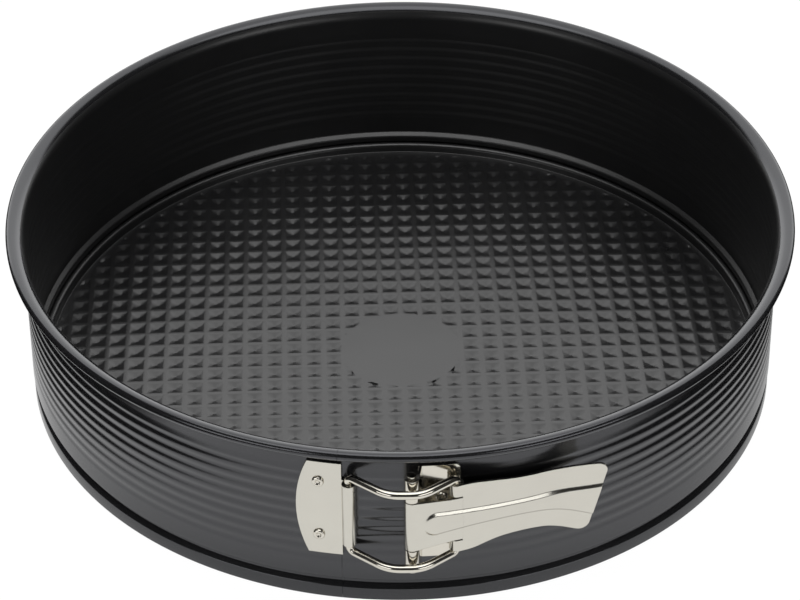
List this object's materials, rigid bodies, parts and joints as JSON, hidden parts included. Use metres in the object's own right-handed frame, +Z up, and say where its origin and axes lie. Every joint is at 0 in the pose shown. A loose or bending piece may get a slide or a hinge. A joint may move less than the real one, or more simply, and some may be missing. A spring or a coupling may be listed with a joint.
{
  "type": "springform cake pan",
  "caption": "Round springform cake pan: dark coated split ring with grooved wall and rolled rim, waffle-pressed base, and a bright over-centre clasp with wire bail and lever.",
  "frame": {"origin": "middle of the whole outline seen from above, at the level of the table the pan stands on; the ring's own axis lies 3.3 mm behind it", "axes": "+Z up along the ring's axis; the clasp is at the front, -Y; the lever points to +X and the free end of the ring lies toward -X"},
  "size_m": [0.273, 0.2796, 0.0655],
  "materials": {
    "coated_base": "dark grey non-stick coat on pressed steel sheet, satin",
    "coated_ring": "dark grey non-stick coat on rolled steel sheet, glossy outside and satin inside",
    "nickel_sheet": "bright nickel plate on pressed steel sheet",
    "nickel_wire": "bright nickel plate on drawn steel wire"
  },
  "bodies": {
    "base": {"base_plate": "coated_base"},
    "ring": {"ring_band": "coated_ring", "hinge_bracket": "nickel_sheet", "hinge_rivet_upper": "nickel_sheet", "hinge_rivet_lower": "nickel_sheet", "hinge_pin": "nickel_wire"},
    "lever": {"clamp_lever": "nickel_sheet"},
    "free_end": {"anchor_plate": "nickel_sheet", "anchor_rivet_upper": "nickel_sheet", "anchor_rivet_lower": "nickel_sheet"},
    "bail": {"wire_bail": "nickel_wire"}
  },
  "joints": [
    {"name": "ring_lift", "type": "slide", "parent": "base", "child": "ring", "axis": [0, 0, 1], "range_m": [0, 0.08], "deforming": ["ring_band"]},
    {"name": "lever_swing", "type": "hinge", "parent": "ring", "child": "lever", "pos_m": [0.0031, -0.13416, 0.0389], "axis": [0, 0, -1], "range_deg": [0, 150]},
    {"name": "ring_spread", "type": "hinge", "parent": "ring", "child": "free_end", "pos_m": [0, 0.13401, 0.0389], "axis": [0, 0, -1], "range_deg": [0, 4.23], "deforming": ["ring_band"]},
    {"name": "bail_swing", "type": "hinge", "parent": "free_end", "child": "bail", "pos_m": [-0.017, -0.12897, 0.0389], "axis": [0, 0, -1], "range_deg": [0, 25.45]}
  ],
  "couplings": [
    {"joint": "ring_spread", "follows": "lever_swing", "ratio": 0.028165},
    {"joint": "bail_swing", "follows": "lever_swing", "ratio": 0.16961}
  ]
}
